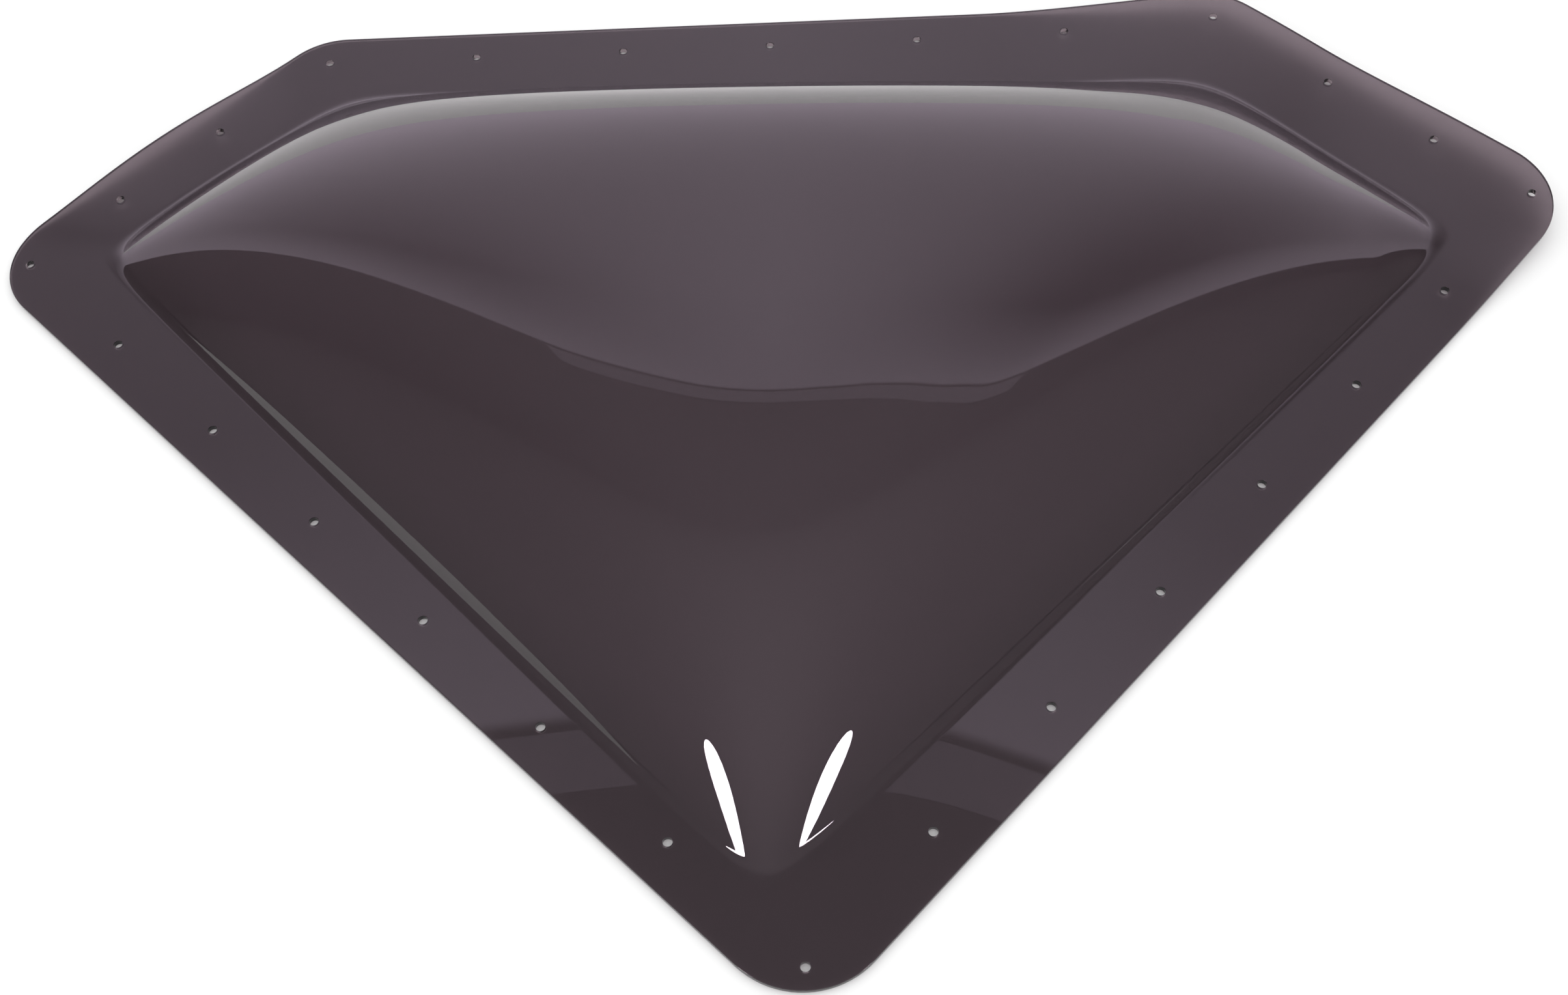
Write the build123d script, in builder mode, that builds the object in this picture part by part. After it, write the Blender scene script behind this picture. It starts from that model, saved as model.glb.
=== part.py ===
from build123d import *
import math
import os

# Neo-angle roof skylight: one sheet of tinted polycarbonate, clamped round its edge and blown into
# a low five-sided dome, with a flat screw flange left all round it. The sheet is trimmed and
# drilled after blowing, so the dome sits a little forward and askew inside its symmetric flange.
#
# Frame: millimetres, +Z up. The flange lies on the roof at Z = 0, its outline is symmetric about
# X = 0, the square front corner points to -Y and the long straight back faces +Y. The origin is
# at the middle of the plan's box.

# ---- Driving dimensions ----
LONG_SIDE = 660.4          # flange outline, corner to corner before rounding (26 in)
SHORT_SIDE = 254.0         # the same for the two short sides (10 in)
CORNER_RADIUS = 45.0       # flange corners in plan
FLANGE_WIDTH = 51.0        # outer edge to the foot of the dome, before the dome is shifted
SHEET = 3.2                # sheet thickness

DOME_HEIGHT = 90.0         # top of the crown above the roof
FOOT_ROUNDING = 20.0       # higher rounds the foot line more at its corners
CORNER_POWER = 2.0         # higher keeps the walls straighter up to a corner
CROWN_POWER = 1.6          # higher makes the walls steeper and the crown flatter
FOOT_FILLET = 7.0          # concave blend between flange and dome, on the upper side
DOME_SHIFT_X = -8.5        # the dome's place in its flange: narrower at the left and front,
DOME_SHIFT_Y = -9.0        # wider at the back
DOME_TURN = -2.0           # degrees about the middle of the plan

HOLE_DIAMETER = 4.8        # clearance for a no. 8 screw
HOLE_TO_FOOT = 30.0        # line of holes to the dome's foot line, before the dome is shifted
CORNER_HOLE_INSET = 11.06  # rounded edge of a square corner to its hole's centre
LONG_SIDE_GAPS = 7         # equal gaps, front corner's hole to a side corner's hole
BACK_GAPS = 6              # equal gaps, one back corner's hole to the other's
SHORT_SIDE_STOPS = (0.29, 0.62)   # shares of the way, side corner's hole to back corner's hole

RING_POINTS = 80           # points on each closed section of the dome
FINE_STEPS = 1440          # steps round the foot line when it is measured
FOOT_STEPS = (0.0, 0.33, 0.67, 1.0)                             # sections up the foot's blend
WALL_STEPS = (0.08, 0.16, 0.27, 0.4, 0.54, 0.68, 0.81, 0.91, 0.97)   # and on to the crown

# ---- Plan ----
HALF = math.sqrt(0.5)
SIDE_REACH = LONG_SIDE * HALF                       # front corner to side corner, in X and in Y
BACK_REACH = (LONG_SIDE + SHORT_SIDE) * HALF        # front corner to the back edge, in Y
BACK_HALF = (LONG_SIDE - SHORT_SIDE) * HALF         # half the back edge
FRONT_TRIM = CORNER_RADIUS * (math.sqrt(2) - 1)     # depth that the front rounding takes off
FRONT_Y = -(BACK_REACH + FRONT_TRIM) / 2            # the sharp front corner
SIDE_Y = FRONT_Y + SIDE_REACH
BACK_Y = FRONT_Y + BACK_REACH

# Each straight side as its outward direction in degrees and its distance from the front corner.
SIDES = [(-135, 0), (-45, 0), (45, LONG_SIDE), (135, LONG_SIDE), (90, BACK_REACH)]

# The dome is drawn in this plane, as if square in its flange.
DOME_TURNED = Vector(1, 0, 0).rotate(Axis.Z, DOME_TURN)
DOME_BASE = Plane(origin=(DOME_SHIFT_X, DOME_SHIFT_Y, 0), x_dir=DOME_TURNED)


def side_gaps(x, y, inset):
    """Distances from a point to the five sides, each moved inwards by inset."""
    gaps = []
    for angle, reach in SIDES:
        turn = math.radians(angle)
        gaps.append(reach - inset - x * math.cos(turn) - (y - FRONT_Y) * math.sin(turn))
    return gaps


def soft_gap(x, y, inset):
    """One smooth distance from all five sides: near a side it is that side's distance."""
    gaps = side_gaps(x, y, inset)
    if min(gaps) <= 0:
        return 0
    return sum(gap**-CORNER_POWER for gap in gaps) ** (-1 / CORNER_POWER)


def crown_y(inset):
    """Y of the highest point, by narrowing in on the largest soft distance along X = 0."""
    low = FRONT_Y + inset * 2
    high = BACK_Y - inset
    while high - low > 0.01:
        third = (high - low) / 3
        if soft_gap(0, low + third, inset) < soft_gap(0, high - third, inset):
            low += third
        else:
            high -= third
    return (low + high) / 2


def reach_to(level, inset, centre_y, turn):
    """How far from the crown, in one direction, the soft distance falls to level."""
    near = 0
    far = BACK_REACH
    while far - near > 0.001:
        reach = (near + far) / 2
        if soft_gap(reach * math.cos(turn), centre_y + reach * math.sin(turn), inset) > level:
            near = reach
        else:
            far = reach
    return near


def fan_of_directions(inset, centre_y):
    """Directions from the crown, spaced evenly by the foot line's length and turning together."""
    turns = [math.tau * step / FINE_STEPS - math.pi / 2 for step in range(FINE_STEPS + 1)]
    foot = []
    for turn in turns:
        reach = reach_to(FOOT_ROUNDING, inset, centre_y, turn)
        foot.append(Vector(reach * math.cos(turn), centre_y + reach * math.sin(turn)))
    chords = [end - start for start, end in zip(foot, foot[1:])]
    length = sum(chord.length for chord in chords)
    travelled = [0]
    for before, chord in zip([chords[-1], *chords], chords):
        bend = math.radians(before.get_angle(chord))
        travelled.append(travelled[-1] + chord.length / length + bend / math.tau)
    fan = []
    place = 0
    for step in range(RING_POINTS):
        target = travelled[-1] * step / RING_POINTS
        while travelled[place + 1] < target:
            place += 1
        share = (target - travelled[place]) / (travelled[place + 1] - travelled[place])
        fan.append(turns[place] + (turns[place + 1] - turns[place]) * share)
    return fan


def wall_slope(inset, rise):
    """Slope of the wall where it leaves its foot line, in radians."""
    crown_gap = soft_gap(0, crown_y(inset), inset)
    return math.atan(CROWN_POWER * rise / (crown_gap - FOOT_ROUNDING))


def bubble(foot_inset, foot_z, rise, foot_radius):
    """Solid under the blown dome: level sections lofted smoothly from the foot to the crown.

    The lowest sections follow an arc of foot_radius that leads from the flat into the wall.
    """
    inset = foot_inset - FOOT_ROUNDING
    centre_y = crown_y(inset)
    crown_gap = soft_gap(0, centre_y, inset)
    slope = wall_slope(inset, rise)
    profile = []
    for share in FOOT_STEPS:
        bend = slope * share
        level = FOOT_ROUNDING + foot_radius * (math.sin(bend) - math.tan(slope / 2))
        profile.append((level, foot_radius * (1 - math.cos(bend))))
    for share in WALL_STEPS:
        level = FOOT_ROUNDING + (crown_gap - FOOT_ROUNDING) * share
        profile.append((level, rise * (1 - (1 - share) ** CROWN_POWER)))

    fan = fan_of_directions(inset, centre_y)
    stations = [step / RING_POINTS for step in range(RING_POINTS + 1)]
    sections = []
    for level, height in profile:
        ring = []
        for turn in fan:
            reach = reach_to(level, inset, centre_y, turn)
            ring.append((reach * math.cos(turn), centre_y + reach * math.sin(turn)))
        with BuildSketch(DOME_BASE.offset(foot_z + height)) as section:
            with BuildLine():
                add(Edge.make_spline(ring, periodic=True, parameters=stations))
            make_face()
        sections.append(section.sketch)
    crown = DOME_BASE.from_local_coords(Vector(0, centre_y, foot_z + rise))
    with BuildPart() as solid:
        loft(sections=[*sections, Vertex(*crown)])
    return solid.part


# ---- Screw holes ----
HOLE_INSET = FLANGE_WIDTH - HOLE_TO_FOOT                 # line of holes to the flange's edge
LINE_STEP = HOLE_INSET * math.sqrt(2)                    # square corner to where two lines meet
CORNER_STEP = FRONT_TRIM + CORNER_HOLE_INSET             # square corner to its own hole
BACK_STEP = HOLE_INSET / math.tan(math.radians(67.5))    # along the back edge from its corner

front_hole = Vector(0, FRONT_Y + CORNER_STEP)
side_hole = Vector(SIDE_REACH - CORNER_STEP, SIDE_Y)
back_hole = Vector(BACK_HALF - BACK_STEP, BACK_Y - HOLE_INSET)
front_meeting = Vector(0, FRONT_Y + LINE_STEP)
side_meeting = Vector(SIDE_REACH - LINE_STEP, SIDE_Y)

right_holes = [side_hole]
for gap in range(1, LONG_SIDE_GAPS):
    right_holes.append(front_meeting + (side_meeting - front_meeting) * (gap / LONG_SIDE_GAPS))
for stop in SHORT_SIDE_STOPS:
    right_holes.append(side_meeting + (back_hole - side_meeting) * stop)

back_holes = []
for gap in range(BACK_GAPS + 1):
    back_holes.append(Vector(back_hole.X * (2 * gap / BACK_GAPS - 1), back_hole.Y))

left_holes = [Vector(-hole.X, hole.Y) for hole in right_holes]
hole_centres = [front_hole, *right_holes, *left_holes, *back_holes]

# ---- The sheet ----
# The underside is parallel to the upper side: its foot line stands this much further in.
RISE = DOME_HEIGHT - SHEET
INNER_STEP = SHEET * math.tan(wall_slope(FLANGE_WIDTH - FOOT_ROUNDING, RISE) / 2)

upper_side = bubble(FLANGE_WIDTH, SHEET, RISE, FOOT_FILLET)
underside = bubble(FLANGE_WIDTH + INNER_STEP, 0, RISE, FOOT_FILLET + SHEET)

with BuildPart() as skylight_dome:
    with BuildSketch() as outline:
        with BuildLine():
            Polyline(
                (0, FRONT_Y),
                (SIDE_REACH, SIDE_Y),
                (BACK_HALF, BACK_Y),
                (-BACK_HALF, BACK_Y),
                (-SIDE_REACH, SIDE_Y),
                close=True,
            )
        make_face()
        fillet(outline.vertices(), CORNER_RADIUS)
    extrude(amount=SHEET)
    add(upper_side)
    add(underside, mode=Mode.SUBTRACT)
    with Locations(*hole_centres):
        Hole(HOLE_DIAMETER / 2)

skylight_dome.part.label = "skylight_dome"
os.makedirs("parts", exist_ok=True)
export_step(skylight_dome.part, "parts/skylight_dome.step")
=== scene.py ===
import math

import bpy
import numpy as np
from mathutils import Euler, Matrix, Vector
from mathutils.geometry import delaunay_2d_cdt


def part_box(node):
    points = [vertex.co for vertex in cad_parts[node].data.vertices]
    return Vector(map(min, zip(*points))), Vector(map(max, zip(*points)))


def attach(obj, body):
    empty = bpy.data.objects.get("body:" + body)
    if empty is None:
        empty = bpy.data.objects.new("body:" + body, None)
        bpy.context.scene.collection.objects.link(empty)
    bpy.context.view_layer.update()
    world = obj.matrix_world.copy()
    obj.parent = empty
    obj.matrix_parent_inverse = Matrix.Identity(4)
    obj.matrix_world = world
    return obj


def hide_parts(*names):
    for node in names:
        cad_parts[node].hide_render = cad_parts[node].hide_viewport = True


# Neo-angle roof skylight: one blown sheet of smoke-tinted polycarbonate. Metres, the frame's axes.
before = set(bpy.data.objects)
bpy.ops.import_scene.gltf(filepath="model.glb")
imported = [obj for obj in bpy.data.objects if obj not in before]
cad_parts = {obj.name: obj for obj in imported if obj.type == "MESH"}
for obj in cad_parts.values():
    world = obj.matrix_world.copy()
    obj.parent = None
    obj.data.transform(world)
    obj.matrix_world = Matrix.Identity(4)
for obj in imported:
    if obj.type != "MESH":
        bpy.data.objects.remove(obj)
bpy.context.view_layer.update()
NODE = "skylight_dome"
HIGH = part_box(NODE)[1]

# ---- Sizes of the sheet, the same driving dimensions as the CAD node ----
SHORT_SIDE = 0.2540
CORNER_RADIUS = 0.045
FLANGE_WIDTH = 0.0510
SHEET = 0.0032
DOME_HEIGHT = HIGH.z
FOOT_ROUNDING = 0.020
CORNER_POWER = 2.0
CROWN_POWER = 1.6
FOOT_FILLET = 0.007
DOME_SHIFT = (-0.0085, -0.009)
DOME_TURN = math.radians(-2)
HOLE_RADIUS = 0.0024
HOLE_INSET = 0.021
LONG_SIDE_GAPS = 7
BACK_GAPS = 6
SHORT_SIDE_STOPS = (0.29, 0.62)
EDGE_ROUND = 0.0005          # broken edge round the outline
HOLE_ROUND = 0.0004          # and round each hole

# ---- Mesh fineness ----
RING_POINTS = 480
BLEND_RINGS = 8
WALL_RINGS = 60
FLANGE_STEP = 0.008
HOLE_POINTS = 28

HALF = math.sqrt(0.5)
CORNER_TRIM = CORNER_RADIUS * (math.sqrt(2) - 1)
SIDE_REACH = HIGH.x + CORNER_TRIM
LONG_SIDE = SIDE_REACH / HALF
BACK_REACH = (LONG_SIDE + SHORT_SIDE) * HALF
BACK_HALF = (LONG_SIDE - SHORT_SIDE) * HALF
BACK_Y = HIGH.y
FRONT_Y = BACK_Y - BACK_REACH
SIDE_Y = FRONT_Y + SIDE_REACH
RISE = DOME_HEIGHT - SHEET

SIDE_TURNS = np.radians([-135, -45, 45, 135, 90])
SIDE_OUT = np.stack([np.cos(SIDE_TURNS), np.sin(SIDE_TURNS)], 1)
SIDE_REACHES = np.array([0, 0, LONG_SIDE, LONG_SIDE, BACK_REACH])


# ---- The dome's place: shifted and turned a little inside its flange ----
TURNED = np.array([
    [math.cos(DOME_TURN), -math.sin(DOME_TURN)],
    [math.sin(DOME_TURN), math.cos(DOME_TURN)],
])


def to_sheet(places):
    return places @ TURNED.T + DOME_SHIFT


def to_dome(places):
    return (places - DOME_SHIFT) @ TURNED


# ---- The dome's formula ----
def side_gaps(points, inset):
    """Distances from points to the five sides, each moved inwards by inset."""
    from_front = points - np.array([0, FRONT_Y])
    return SIDE_REACHES - inset - from_front @ SIDE_OUT.T


def soft_gap(points, inset):
    """One smooth distance from all five sides."""
    gaps = side_gaps(points, inset)
    inside = gaps.min(-1) > 0
    gaps = np.where(inside[..., None], gaps, 1)
    return np.where(inside, (gaps**-CORNER_POWER).sum(-1) ** (-1 / CORNER_POWER), 0)


def soft_gap_gradient(points, inset):
    gaps = side_gaps(points, inset)
    soft = soft_gap(points, inset)[..., None]
    return -(soft ** (CORNER_POWER + 1)) * (gaps ** (-CORNER_POWER - 1)) @ SIDE_OUT


def crown_place(inset):
    """Y of the highest point and the soft distance there."""
    along = np.linspace(FRONT_Y + 2 * inset, BACK_Y - inset, 20001)
    gaps = soft_gap(np.stack([0 * along, along], 1), inset)
    return along[gaps.argmax()], gaps.max()


def wall_slope():
    """Slope of the upper wall where it leaves its foot line."""
    gap = crown_place(FLANGE_WIDTH - FOOT_ROUNDING)[1]
    return math.atan(CROWN_POWER * RISE / (gap - FOOT_ROUNDING))


def ring_at(level, inset, centre, turns):
    """Points round the crown where the soft distance equals level."""
    heading = np.stack([np.cos(turns), np.sin(turns)], 1)
    near = np.zeros(len(turns))
    far = np.full(len(turns), BACK_REACH)
    for _ in range(40):
        reach = (near + far) / 2
        inside = soft_gap(centre + heading * reach[:, None], inset) > level
        near = np.where(inside, reach, near)
        far = np.where(inside, far, reach)
    return centre + heading * near[:, None]


def fan_of_turns(inset, centre):
    """Directions from the crown, spaced evenly by the foot line's length and turning together."""
    turns = np.linspace(0, math.tau, 2881) - math.pi / 2
    foot = ring_at(FOOT_ROUNDING, inset, centre, turns)
    chords = np.diff(foot, axis=0)
    heading = np.unwrap(np.arctan2(chords[:, 1], chords[:, 0]))
    bends = np.diff(heading, prepend=heading[-1] - math.tau)
    lengths = np.linalg.norm(chords, axis=1)
    travelled = np.concatenate([[0], np.cumsum(lengths / lengths.sum() + bends / bends.sum())])
    stops = np.linspace(0, travelled[-1], RING_POINTS, endpoint=False)
    return np.interp(stops, travelled, turns)


# ---- How the free sheet sits: curled up a few millimetres at some edges ----
CURLS = [  # middle, reach and lift
    ((0.47, 0.17), 0.16, 0.012),         # right corner
    ((0.35, 0.34), 0.22, 0.013),         # back right
    ((-0.40, 0.25), 0.11, 0.008),        # left short side
]


def settle(places, facing):
    """Raise the sheet round each curl, and tilt its normals with it."""
    lift = np.zeros(len(places))
    slope = np.zeros((len(places), 2))
    for middle, reach, height in CURLS:
        offset = places[:, :2] - middle
        share = np.clip(1 - (offset**2).sum(1) / reach**2, 0, None)
        lift += height * share**2
        slope -= (4 * height * share / reach**2)[:, None] * offset
    facing = np.column_stack([facing[:, :2] - slope * facing[:, 2:], facing[:, 2]])
    places = places + np.column_stack([np.zeros((len(places), 2)), lift])
    return places, facing / np.linalg.norm(facing, axis=1)[:, None]


# ---- The mesh, gathered as points, normals and faces ----
points, normals, faces = [], [], []


def add_points(places, facing):
    first = len(points)
    points.extend(np.asarray(places, float).tolist())
    normals.extend(np.asarray(facing, float).tolist())
    return list(range(first, len(points)))


def add_strip(outer, inner, flip=False):
    """Quads between two closed loops with the same number of points."""
    count = len(outer)
    for k in range(count):
        quad = [outer[k], outer[(k + 1) % count], inner[(k + 1) % count], inner[k]]
        faces.append(quad[::-1] if flip else quad)


def add_dome(foot_inset, foot_z, foot_radius, flip):
    """One face of the dome, from the flat to the crown. Gives the lowest ring's points."""
    inset = foot_inset - FOOT_ROUNDING
    crown_y, crown_gap = crown_place(inset)
    centre = np.array([0, crown_y])
    turns = fan_of_turns(inset, centre)
    slope = math.atan(CROWN_POWER * RISE / (crown_gap - FOOT_ROUNDING))
    profile = []
    for bend in np.linspace(0, slope, BLEND_RINGS + 1):
        level = FOOT_ROUNDING + foot_radius * (math.sin(bend) - math.tan(slope / 2))
        profile.append((level, foot_radius * (1 - math.cos(bend)), math.tan(bend)))
    start = 1 - math.sqrt(1 - (profile[-1][0] - FOOT_ROUNDING) / (crown_gap - FOOT_ROUNDING))
    for place in np.linspace(start, 1, WALL_RINGS + 1)[1:-1]:
        share = 1 - (1 - place) ** 2
        level = FOOT_ROUNDING + (crown_gap - FOOT_ROUNDING) * share
        height = RISE * (1 - (1 - share) ** CROWN_POWER)
        steep = RISE * CROWN_POWER * (1 - share) ** (CROWN_POWER - 1) / (crown_gap - FOOT_ROUNDING)
        profile.append((level, height, steep))
    side = -1 if flip else 1
    rings = []
    for level, height, steep in profile:
        plan = ring_at(level, inset, centre, turns)
        lean = -steep * soft_gap_gradient(plan, inset)
        facing = np.column_stack([lean, np.ones(len(plan))])
        facing[:, :2] = facing[:, :2] @ TURNED.T
        place = np.column_stack([to_sheet(plan), np.full(len(plan), foot_z + height)])
        rings.append(add_points(place, side * facing))
    for outer, inner in zip(rings, rings[1:]):
        add_strip(outer, inner, flip)
    crown = to_sheet(centre)
    (top,) = add_points([(*crown, foot_z + RISE)], [(0, 0, side)])
    last = rings[-1]
    for k in range(len(last)):
        triangle = [last[k], last[(k + 1) % len(last)], top]
        faces.append(triangle[::-1] if flip else triangle)
    return rings[0]


def outline_loop(inset):
    """The flange's rounded outline moved inwards, anticlockwise, with each point's outward direction."""
    corners = [
        (0, FRONT_Y, -135, -45),
        (SIDE_REACH, SIDE_Y, -45, 45),
        (BACK_HALF, BACK_Y, 45, 90),
        (-BACK_HALF, BACK_Y, 90, 135),
        (-SIDE_REACH, SIDE_Y, 135, 225),
    ]
    arcs = []
    for x, y, before, after in corners:
        middle = math.radians((before + after) / 2)
        back_off = CORNER_RADIUS / math.cos(math.radians(after - before) / 2)
        centre = np.array([x, y]) - back_off * np.array([math.cos(middle), math.sin(middle)])
        turns = np.radians(np.linspace(before, after, 3 + (after - before) // 5))
        out = np.stack([np.cos(turns), np.sin(turns)], 1)
        arcs.append((centre + (CORNER_RADIUS - inset) * out, out))
    loop, outward = [], []
    for (arc, out), (next_arc, next_out) in zip(arcs, arcs[1:] + arcs[:1]):
        loop.append(arc)
        outward.append(out)
        count = round(np.linalg.norm(next_arc[0] - arc[-1]) / FLANGE_STEP)
        share = np.linspace(0, 1, count + 1)[1:-1, None]
        loop.append(arc[-1] + (next_arc[0] - arc[-1]) * share)
        outward.append(np.repeat(next_out[:1], count - 1, 0))
    return np.concatenate(loop), np.concatenate(outward)


def hole_loop(centre, radius):
    turns = np.linspace(0, math.tau, HOLE_POINTS, endpoint=False)
    out = np.stack([np.cos(turns), np.sin(turns)], 1)
    return centre + radius * out, -out


def edge_profile(rounding):
    """(inset, height, outward share, upward share) down a sheet's edge, top to bottom."""
    steps = []
    for turn in np.radians([90, 67.5, 45, 22.5, 0]):
        steps.append((rounding * (1 - math.cos(turn)), SHEET - rounding * (1 - math.sin(turn)),
                      math.cos(turn), math.sin(turn)))
    for turn in np.radians([0, -22.5, -45, -67.5, -90]):
        steps.append((rounding * (1 - math.cos(turn)), rounding * (1 + math.sin(turn)),
                      math.cos(turn), math.sin(turn)))
    return steps


def add_edge(loop_at, rounding, flip):
    """The sheet's edge along an outline or a hole. Gives its top and bottom loops."""
    loops = []
    for inset, height, outward_share, upward_share in edge_profile(rounding):
        plan, out = loop_at(inset)
        place = np.column_stack([plan, np.full(len(plan), height)])
        facing = np.column_stack([out * outward_share, np.full(len(plan), upward_share)])
        loops.append(add_points(place, facing))
    for upper, lower in zip(loops, loops[1:]):
        add_strip(upper, lower, not flip)
    return loops[0], loops[-1]


def hole_centres():
    front = np.array([0, FRONT_Y + HOLE_INSET * math.sqrt(2)])
    side = np.array([SIDE_REACH - HOLE_INSET * math.sqrt(2), SIDE_Y])
    back = np.array([BACK_HALF - HOLE_INSET * math.tan(math.radians(22.5)), BACK_Y - HOLE_INSET])
    right = [side]
    right += [front + (side - front) * step / LONG_SIDE_GAPS for step in range(1, LONG_SIDE_GAPS)]
    right += [side + (back - side) * stop for stop in SHORT_SIDE_STOPS]
    left = [place * [-1, 1] for place in right]
    row = [back * [2 * step / BACK_GAPS - 1, 1] for step in range(BACK_GAPS + 1)]
    return [front, *right, *left, *row]


def beyond_foot(places, foot_inset, foot_radius):
    """How far places on the flat lie outside the lowest ring of a dome face."""
    inset = foot_inset - FOOT_ROUNDING
    lowest = FOOT_ROUNDING - foot_radius * math.tan(wall_slope() / 2)
    return lowest - soft_gap(to_dome(places), inset)


def clear_of_holes(places, margin):
    clear = np.ones(len(places), bool)
    for centre in hole_centres():
        clear &= np.linalg.norm(places - centre, axis=1) > HOLE_RADIUS + HOLE_ROUND + margin
    return clear


def flat_grid(foot_inset, foot_radius):
    """Points over the flange's flat, clear of its rim, its corners, its holes and the dome's foot."""
    across = np.arange(-SIDE_REACH, SIDE_REACH, FLANGE_STEP)
    along = np.arange(FRONT_Y, BACK_Y, FLANGE_STEP)
    grid = np.stack(np.meshgrid(across, along), -1).reshape(-1, 2)
    grid = grid[side_gaps(grid, 0).min(1) > FLANGE_STEP / 2]
    grid = grid[beyond_foot(grid, foot_inset, foot_radius) > FLANGE_STEP / 3]
    for corner in [(0, FRONT_Y), (SIDE_REACH, SIDE_Y), (-SIDE_REACH, SIDE_Y)]:
        grid = grid[np.linalg.norm(grid - corner, axis=1) > CORNER_RADIUS * 0.6]
    return grid[clear_of_holes(grid, FLANGE_STEP / 3)]


def add_flat(rim, holes, foot, foot_inset, foot_radius, height, flip):
    """The flange's flat between its rim, its holes and the dome's foot, as fine triangles."""
    known, edges, loop_of = [], [], {}
    for loop in [rim, foot, *holes]:
        first = len(known)
        count = len(loop)
        known += loop
        edges += [(first + k, first + (k + 1) % count) for k in range(count)]
        if loop is not rim:
            loop_of.update(dict.fromkeys(loop, first))
    plan = [Vector(points[index][:2]) for index in known]
    grid = flat_grid(foot_inset, foot_radius)
    side = -1 if flip else 1
    facing = np.repeat([[0, 0, side]], len(grid), 0)
    known += add_points(np.column_stack([grid, np.full(len(grid), height)]), facing)
    plan += [Vector(place) for place in grid]
    made = delaunay_2d_cdt(plan, edges, [], 1, 1e-7)
    source = [known[origin[0]] for origin in made[3]]
    for face in made[2]:
        triangle = [source[k] for k in face]
        joins = {loop_of.get(index) for index in triangle}
        if len(joins) > 1 or None in joins:          # one that joins a single loop would fill its hole
            faces.append(triangle[::-1] if flip else triangle)


def skylight_mesh():
    inner_inset = FLANGE_WIDTH + SHEET * math.tan(wall_slope() / 2)
    upper_foot = add_dome(FLANGE_WIDTH, SHEET, FOOT_FILLET, False)
    lower_foot = add_dome(inner_inset, 0, FOOT_FILLET + SHEET, True)
    upper_rim, lower_rim = add_edge(outline_loop, EDGE_ROUND, False)
    upper_holes, lower_holes = [], []
    for centre in hole_centres():
        upper, lower = add_edge(lambda inset: hole_loop(centre, HOLE_RADIUS + inset), HOLE_ROUND, True)
        upper_holes.append(upper)
        lower_holes.append(lower)
    add_flat(upper_rim, upper_holes, upper_foot, FLANGE_WIDTH, FOOT_FILLET, SHEET, False)
    add_flat(lower_rim, lower_holes, lower_foot, inner_inset, FOOT_FILLET + SHEET, 0, True)
    mesh = bpy.data.meshes.new("skylight_dome_sheet")
    settled, facing = settle(np.array(points), np.array(normals))
    mesh.from_pydata(settled.tolist(), [], faces)
    mesh.shade_smooth()
    mesh.normals_split_custom_set_from_vertices(facing.tolist())
    piece = bpy.data.objects.new("skylight_dome_sheet", mesh)
    bpy.context.scene.collection.objects.link(piece)
    return piece


# ---- Material ----
TINT = (0.190, 0.151, 0.168)       # light let through one thickness of the flange
CLEAREST = (0.222, 0.178, 0.200)   # and of the dome, where blowing has drawn the sheet thinner
DRAWN_HEIGHT = 0.03                # how high up the wall the sheet is fully drawn
DRAWN_SHARES = (0.6, 1.3)          # how unevenly it is drawn
REFRACTION = 1.585
ROUGHNESSES = (0.002, 0.009)       # polished, and where it has been wiped
RIPPLE_STRENGTH = 0.25
RIPPLE_HEIGHT = 0.0004


def tinted_polycarbonate():
    """Clear smoke sheet, polished: lighter up the dome, where it is drawn thinner, with faint
    forming ripple and wipe marks in its gloss."""
    material = bpy.data.materials.new("tinted_polycarbonate")
    material.use_nodes = True
    nodes, links = material.node_tree.nodes, material.node_tree.links
    shader = nodes["Principled BSDF"]
    shader.inputs["Transmission Weight"].default_value = 1
    shader.inputs["IOR"].default_value = REFRACTION
    place = nodes.new("ShaderNodeTexCoord")

    def noise(scale, detail):
        texture = nodes.new("ShaderNodeTexNoise")
        texture.inputs["Scale"].default_value = scale
        texture.inputs["Detail"].default_value = detail
        links.new(place.outputs["Object"], texture.inputs["Vector"])
        return texture.outputs["Fac"]

    drawn = nodes.new("ShaderNodeMix")
    drawn.data_type = "RGBA"
    drawn.inputs["A"].default_value = (*TINT, 1)
    drawn.inputs["B"].default_value = (*CLEAREST, 1)
    height = nodes.new("ShaderNodeSeparateXYZ")
    links.new(place.outputs["Object"], height.inputs["Vector"])
    stretch = nodes.new("ShaderNodeMapRange")
    stretch.inputs["From Min"].default_value = SHEET
    stretch.inputs["From Max"].default_value = DRAWN_HEIGHT
    links.new(height.outputs["Z"], stretch.inputs["Value"])
    uneven = nodes.new("ShaderNodeMapRange")
    uneven.inputs["To Min"].default_value, uneven.inputs["To Max"].default_value = DRAWN_SHARES
    links.new(noise(3.5, 1), uneven.inputs["Value"])
    thinning = nodes.new("ShaderNodeMath")
    thinning.operation = "MULTIPLY"
    links.new(stretch.outputs["Result"], thinning.inputs[0])
    links.new(uneven.outputs["Result"], thinning.inputs[1])
    links.new(thinning.outputs["Value"], drawn.inputs["Factor"])
    links.new(drawn.outputs["Result"], shader.inputs["Base Color"])
    wiped = nodes.new("ShaderNodeMapRange")
    wiped.inputs["To Min"].default_value, wiped.inputs["To Max"].default_value = ROUGHNESSES
    links.new(noise(9, 5), wiped.inputs["Value"])
    links.new(wiped.outputs["Result"], shader.inputs["Roughness"])
    ripple = nodes.new("ShaderNodeBump")
    ripple.inputs["Strength"].default_value = RIPPLE_STRENGTH
    ripple.inputs["Distance"].default_value = RIPPLE_HEIGHT
    links.new(noise(7, 1), ripple.inputs["Height"])
    links.new(ripple.outputs["Normal"], shader.inputs["Normal"])
    return material


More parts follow.
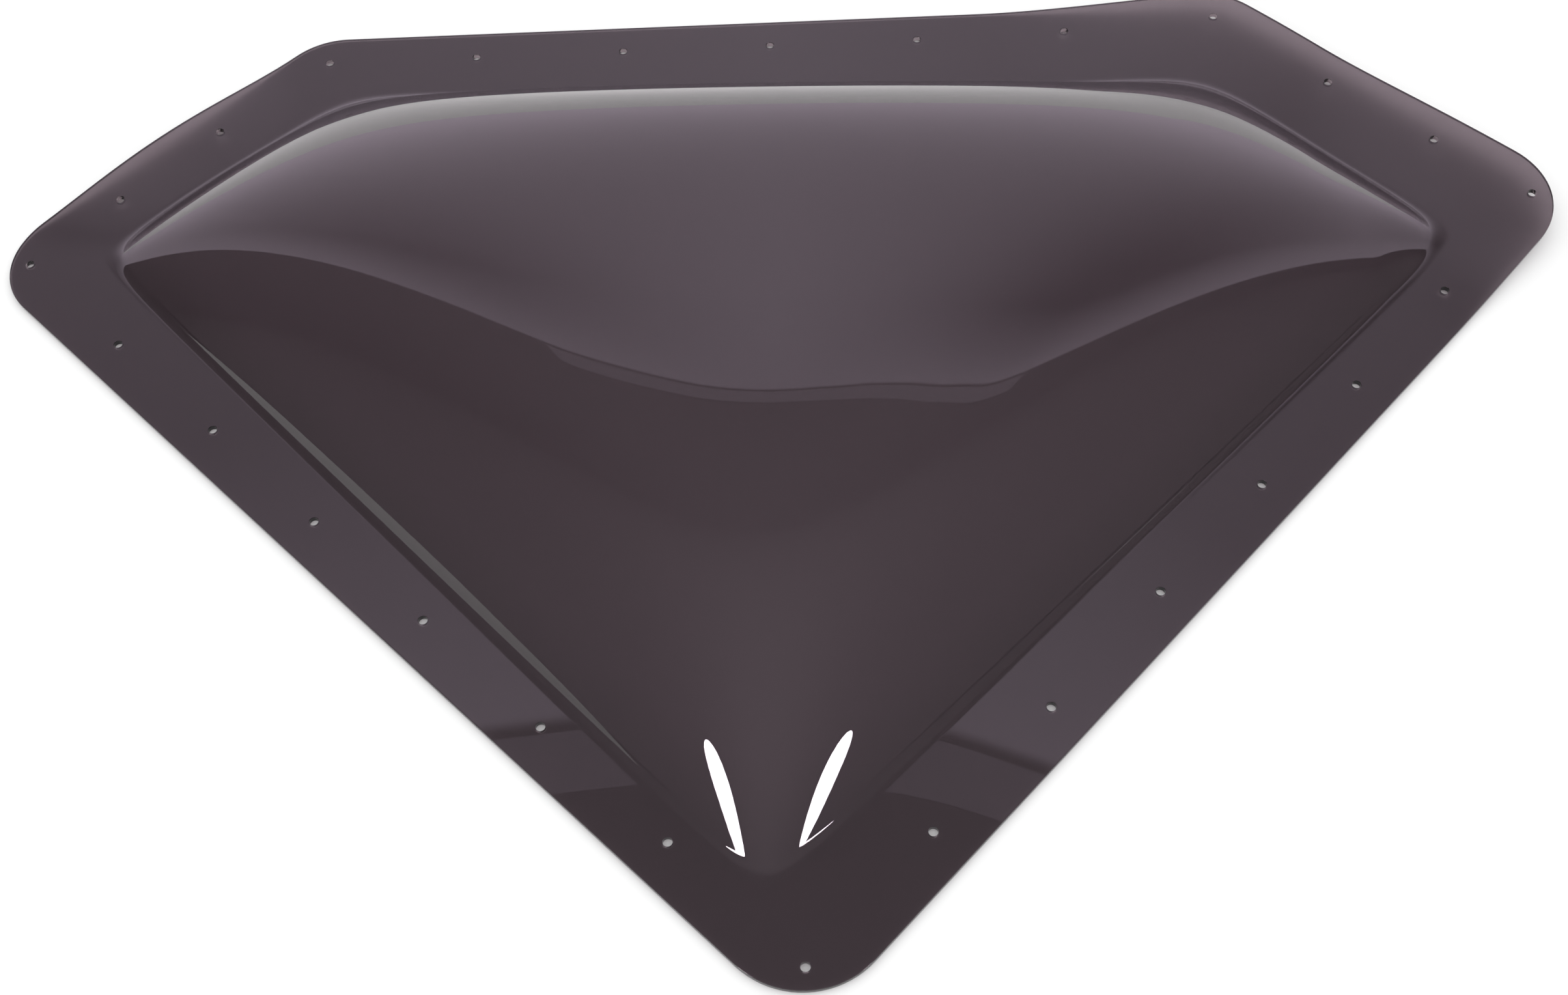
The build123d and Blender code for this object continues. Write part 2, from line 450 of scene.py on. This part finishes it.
piece = skylight_mesh()
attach(piece, "root")
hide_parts(NODE)
piece.data.materials.append(tinted_polycarbonate())


# ---- Studio: a white tent round a white floor; the gloss shows its backdrop and the dim room ----
TENT_LIGHT = 1.2
BACKDROP_LIGHT = (1.07, 0.93, 1.10)
BACKDROP_FALL = 2.5        # how fast the backdrop dims towards its upper sides
FALL_START = 0.15          # and how far behind its edge that is in full
ROOM_LIGHT = 0.06
OVERHEAD_LIGHT = 0.34
FRONT_LIGHT = 0.5
ROOM_COLOUR = (1, 0.88, 0.97)
# How far back the backdrop's lower edge hangs, from the left (-1) over the top (0) to the right (1).
BACKDROP_EDGE = [
    (-1, 0.30), (-0.68, 0.33), (-0.45, 0.37), (-0.13, 0.445), (0.02, 0.447), (0.13, 0.415), (0.25, 0.35),
    (0.42, 0.23), (0.6, 0.12), (1, 0.05)
]
EDGE_SOFTNESS = 0.004
STRIP = (-0.036, -0.006)   # a dimmer strip along the middle of that edge, just in front of it
STRIP_ENDS = (-0.42, 0.60)
STRIP_LIGHT = 0.4
SOFTBOXES = [((-0.69, -0.545, 0.47), 6.5), ((0.74, -0.56, 0.36), 4.5)]   # direction, radius in degrees
SOFTBOX_LIGHT = 30
FLOOR_REACH = 40
FLOOR_DROP = 0.0004        # just under the sheet, so that the two don't touch
EYE_PLACE = (0.0015, -0.5734, 0.7972)
EYE_TURNS = (33.38, 1.41, -1.78)   # degrees
LENS = 41.4                # millimetres, on a 36 mm sensor


def floor():
    mesh = bpy.data.meshes.new("floor")
    corners = [(-FLOOR_REACH, -FLOOR_REACH, 0), (FLOOR_REACH, -FLOOR_REACH, 0)]
    corners += [(FLOOR_REACH, FLOOR_REACH, 0), (-FLOOR_REACH, FLOOR_REACH, 0)]
    mesh.from_pydata(corners, [], [(0, 1, 2, 3)])
    ground = bpy.data.objects.new("floor", mesh)
    ground.location.z = -FLOOR_DROP
    bpy.context.scene.collection.objects.link(ground)
    material = bpy.data.materials.new("floor_paper")
    material.use_nodes = True
    shader = material.node_tree.nodes["Principled BSDF"]
    shader.inputs["Base Color"].default_value = (0.9, 0.9, 0.9, 1)
    shader.inputs["Roughness"].default_value = 0.9
    shader.inputs["Specular IOR Level"].default_value = 0.1
    mesh.materials.append(material)


def studio_world():
    """White for the eye and for soft light; the gloss alone sees the backdrop and the dim room."""
    world = bpy.data.worlds.new("studio")
    bpy.context.scene.world = world
    world.use_nodes = True
    nodes, links = world.node_tree.nodes, world.node_tree.links
    nodes.clear()

    def maths(operation, first, second):
        node = nodes.new("ShaderNodeMath")
        node.operation = operation
        for socket, value in zip(node.inputs, (first, second)):
            if isinstance(value, (int, float)):
                socket.default_value = value
            else:
                links.new(value, socket)
        return node.outputs["Value"]

    direction = nodes.new("ShaderNodeTexCoord")
    split = nodes.new("ShaderNodeSeparateXYZ")
    links.new(direction.outputs["Generated"], split.inputs["Vector"])
    edge = nodes.new("ShaderNodeFloatCurve")
    curve = edge.mapping.curves[0]
    while len(curve.points) < len(BACKDROP_EDGE):
        curve.points.new(0.5, 0.5)
    for point, (across, back) in zip(curve.points, BACKDROP_EDGE):
        point.location = ((across + 1) / 2, back)
    edge.mapping.update()
    links.new(maths("MULTIPLY", maths("ADD", split.outputs["X"], 1), 0.5), edge.inputs["Value"])
    behind = maths("SUBTRACT", split.outputs["Y"], edge.outputs["Value"])
    backdrop = nodes.new("ShaderNodeMapRange")
    backdrop.interpolation_type = "SMOOTHSTEP"
    backdrop.inputs["From Min"].default_value = -EDGE_SOFTNESS
    backdrop.inputs["From Max"].default_value = EDGE_SOFTNESS
    links.new(behind, backdrop.inputs["Value"])
    high = maths("MAXIMUM", split.outputs["Z"], 0)
    overhead = maths("MULTIPLY", maths("POWER", high, 2), OVERHEAD_LIGHT)
    ahead = maths("MAXIMUM", maths("MULTIPLY", split.outputs["Y"], -1), 0)
    in_front = maths("MULTIPLY", maths("POWER", ahead, 0.5), FRONT_LIGHT)
    room = maths("ADD", maths("ADD", overhead, in_front), ROOM_LIGHT)

    def within(value, limits):
        above = maths("GREATER_THAN", value, limits[0])
        return maths("MULTIPLY", above, maths("LESS_THAN", value, limits[1]))

    on_strip = maths("MULTIPLY", within(behind, STRIP), within(split.outputs["X"], STRIP_ENDS))
    strip = maths("MULTIPLY", on_strip, STRIP_LIGHT)
    lit = maths("ADD", backdrop.outputs["Result"], strip)
    on_softbox = 0
    for heading, radius in SOFTBOXES:
        towards = nodes.new("ShaderNodeVectorMath")
        towards.operation = "DOT_PRODUCT"
        towards.inputs[1].default_value = Vector(heading).normalized()
        links.new(direction.outputs["Generated"], towards.inputs[0])
        inside = maths("GREATER_THAN", towards.outputs["Value"], math.cos(math.radians(radius)))
        on_softbox = maths("ADD", on_softbox, inside)
    room = maths("ADD", room, maths("MULTIPLY", on_softbox, SOFTBOX_LIGHT))

    def light(strength, colour):
        node = nodes.new("ShaderNodeBackground")
        node.inputs["Color"].default_value = (*colour, 1)
        if isinstance(strength, (int, float)):
            node.inputs["Strength"].default_value = strength
        else:
            links.new(strength, node.inputs["Strength"])
        return node.outputs["Background"]

    def choose(factor, without, with_it):
        node = nodes.new("ShaderNodeMixShader")
        links.new(factor, node.inputs[0])
        links.new(without, node.inputs[1])
        links.new(with_it, node.inputs[2])
        return node.outputs["Shader"]

    upper_side = maths("MULTIPLY", maths("ABSOLUTE", split.outputs["X"], 0), maths("POWER", high, 2))
    set_back = maths("MINIMUM", maths("DIVIDE", maths("MAXIMUM", behind, 0), FALL_START), 1)
    fall = maths("MULTIPLY", maths("MULTIPLY", upper_side, set_back), BACKDROP_FALL)
    backdrop_light = maths("MAXIMUM", maths("SUBTRACT", 1, fall), 0.2)
    mirrored = choose(lit, light(room, ROOM_COLOUR), light(backdrop_light, BACKDROP_LIGHT))
    path = nodes.new("ShaderNodeLightPath")
    in_gloss = maths("SUBTRACT", path.outputs["Is Glossy Ray"], path.outputs["Is Transmission Ray"])
    studio = choose(in_gloss, light(TENT_LIGHT, (1, 1, 1)), mirrored)
    output = nodes.new("ShaderNodeOutputWorld")
    links.new(studio, output.inputs["Surface"])


def camera():
    data = bpy.data.cameras.new("camera")
    data.sensor_width = 36
    data.lens = LENS
    eye = bpy.data.objects.new("camera", data)
    eye.location = EYE_PLACE
    eye.rotation_euler = Euler([math.radians(turn) for turn in EYE_TURNS])
    bpy.context.scene.collection.objects.link(eye)
    bpy.context.scene.camera = eye


floor()
studio_world()
camera()
bpy.context.scene.view_settings.view_transform = "Standard"
